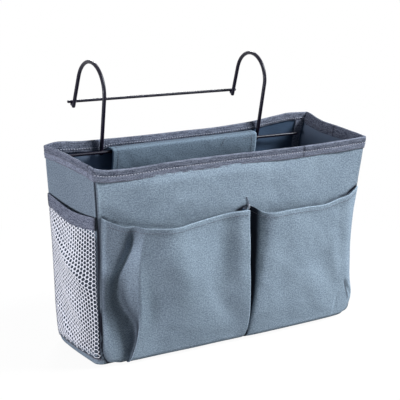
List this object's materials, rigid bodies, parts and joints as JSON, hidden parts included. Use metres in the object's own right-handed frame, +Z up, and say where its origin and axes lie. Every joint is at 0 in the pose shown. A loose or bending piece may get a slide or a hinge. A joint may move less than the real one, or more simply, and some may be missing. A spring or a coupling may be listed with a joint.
{
  "type": "bedside caddy",
  "caption": "Cloth caddy bag with pleated front pockets, net end pockets and a wire hanger with hooks that hang it on a bed rail.",
  "frame": {"origin": "middle of the base's underside, on the surface it stands on", "axes": "+Z up, +X along the length from the left net pocket to the right one, -Y towards the front pockets, +Y towards the hanger"},
  "size_m": [0.3294, 0.197, 0.2788],
  "materials": {
    "cloth": "woven oxford cloth, grey-blue, matt",
    "sleeve": "coated side of the cloth, grey-green, low sheen",
    "tape": "woven binding tape, grey-purple, matt",
    "net": "white knitted net",
    "wire": "black coated steel wire, satin"
  },
  "bodies": {
    "bag": {"front_panel": "cloth", "back_panel": "cloth", "left_gusset": "cloth", "right_gusset": "cloth", "base_panel": "cloth", "left_pocket": "cloth", "right_pocket": "cloth", "front_rim_tape": "tape", "back_rim_tape": "tape", "left_rim_tape": "tape", "right_rim_tape": "tape", "front_left_seam_tape": "tape", "front_right_seam_tape": "tape", "back_left_seam_tape": "tape", "back_right_seam_tape": "tape", "left_net": "net", "right_net": "net", "left_net_tape": "tape", "right_net_tape": "tape", "hanger_sleeve": "sleeve"},
    "hanger": {"hanger_lower_bar": "wire", "hanger_upper_bar": "wire", "hanger_hook_left": "wire", "hanger_hook_right": "wire"}
  },
  "joints": [
    {"name": "hanger_swing", "type": "hinge", "parent": "bag", "child": "hanger", "pos_m": [0, 0.04685, 0.184], "axis": [1, 0, 0], "range_deg": [0, 97]}
  ]
}
